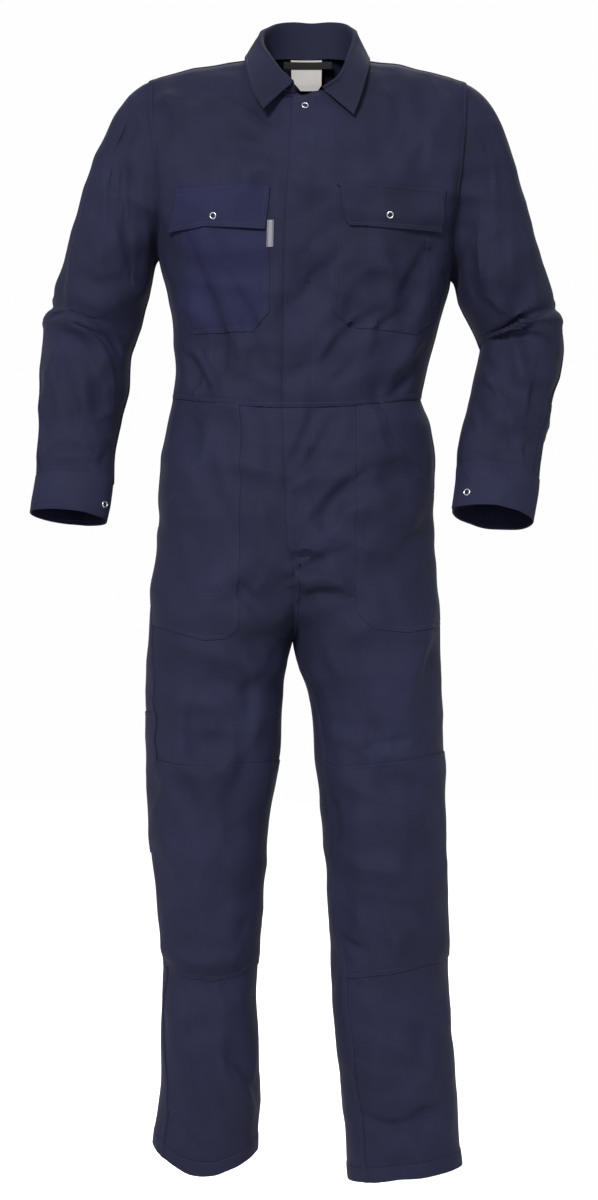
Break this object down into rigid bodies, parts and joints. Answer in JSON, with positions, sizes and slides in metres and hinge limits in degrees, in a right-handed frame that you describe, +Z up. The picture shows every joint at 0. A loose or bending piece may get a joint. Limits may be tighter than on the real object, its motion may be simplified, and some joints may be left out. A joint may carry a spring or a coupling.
{
  "type": "boiler suit",
  "caption": "Long-sleeved one-piece work boiler suit in navy twill, filled out with no wearer: shirt collar, flapped chest pockets, hip pockets and knee patches.",
  "frame": {"origin": "the nape: the middle of the back neckline, where the suit rests on the wearer", "axes": "+Z up, the suit's front faces -Y, the wearer's left is +X"},
  "size_m": [0.7428, 0.2858, 1.6298],
  "materials": {
    "navy_twill": "matt twill weave",
    "nickel_plated_snap": "satin nickel plate",
    "grey_tab_tape": "woven tape",
    "white_label_satin": "satin label tape",
    "black_loop_tape": "woven tape"
  },
  "bodies": {
    "root": {"bodice_front_right": "navy_twill", "bodice_front_left": "navy_twill", "bodice_back": "navy_twill", "collar": "navy_twill", "sleeve_front_right": "navy_twill", "sleeve_front_left": "navy_twill", "sleeve_back_right": "navy_twill", "sleeve_back_left": "navy_twill", "cuff_right": "navy_twill", "cuff_left": "navy_twill", "trouser_front_right": "navy_twill", "trouser_front_left": "navy_twill", "trouser_back_right": "navy_twill", "trouser_back_left": "navy_twill", "chest_pocket_right": "navy_twill", "chest_pocket_left": "navy_twill", "chest_flap_right": "navy_twill", "chest_flap_left": "navy_twill", "hip_pocket_right": "navy_twill", "hip_pocket_left": "navy_twill", "knee_patch_right": "navy_twill", "knee_patch_left": "navy_twill", "rule_pocket": "navy_twill", "snap_neck": "nickel_plated_snap", "snap_flap_right": "nickel_plated_snap", "snap_flap_left": "nickel_plated_snap", "snap_cuff_left": "nickel_plated_snap", "pocket_tab": "grey_tab_tape", "neck_label": "white_label_satin", "locker_loop": "black_loop_tape"}
  },
  "joints": []
}
